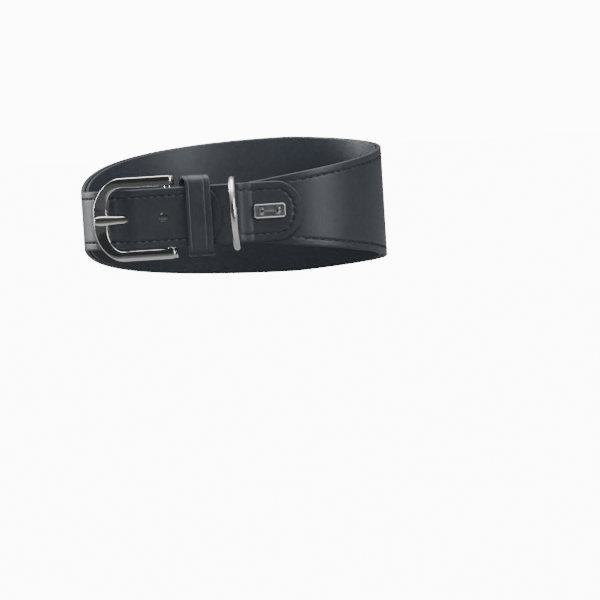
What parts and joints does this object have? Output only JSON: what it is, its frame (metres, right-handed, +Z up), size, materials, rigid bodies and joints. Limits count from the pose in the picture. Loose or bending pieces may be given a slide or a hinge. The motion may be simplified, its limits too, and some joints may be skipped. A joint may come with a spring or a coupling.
{
  "type": "sighthound collar",
  "caption": "Wide black leather sighthound collar, buckled, with a nickel buckle, a keeper, a leash ring, a small plate and sewn seams.",
  "frame": {"origin": "centre of the bounding box at its bottom, on the plane that the wide band's lowest edge rests on", "axes": "+Z up along the axis of the ring, +X to the right of the buckle and away from it, the buckle and the leash ring face -Y"},
  "size_m": [0.1318, 0.1239, 0.062],
  "materials": {
    "black_leather": "smooth",
    "lining_leather": "smooth",
    "buckle_strap_leather": "smooth",
    "keeper_leather": "smooth",
    "upper_thread": "waxed",
    "lower_thread": "waxed",
    "patch_thread": "waxed",
    "frame_nickel": "polished",
    "prong_nickel": "polished",
    "ring_nickel": "polished",
    "plate_nickel": "polished"
  },
  "bodies": {
    "leather": {"band_leather": "black_leather", "band_lining": "lining_leather", "band_thread_upper": "upper_thread", "band_thread_lower": "lower_thread", "buckle_strap": "buckle_strap_leather", "patch_thread": "patch_thread", "name_plate": "plate_nickel"},
    "frame": {"buckle_frame": "frame_nickel"},
    "prong": {"buckle_prong": "prong_nickel"},
    "keeper": {"keeper_loop": "keeper_leather"},
    "leash_ring_body": {"d_ring": "ring_nickel"}
  },
  "joints": [
    {"name": "leash_ring_swing", "type": "hinge", "parent": "leather", "child": "leash_ring_body", "pos_m": [0, -0.04405, 0.031], "axis": [0, 0, 1], "range_deg": [-30, 70]},
    {"name": "buckle_swing", "type": "hinge", "parent": "leather", "child": "frame", "pos_m": [-0.0274, -0.0444, 0.031], "axis": [0, 0, 1], "range_deg": [0, 1]},
    {"name": "prong_swing", "type": "hinge", "parent": "frame", "child": "prong", "pos_m": [-0.0274, -0.0444, 0.031], "axis": [0, 0, 1], "range_deg": [0, 1]},
    {"name": "keeper_slide", "type": "slide", "parent": "leather", "child": "keeper", "axis": [1, 0, 0], "range_m": [-0.0015, 0.0015]}
  ]
}
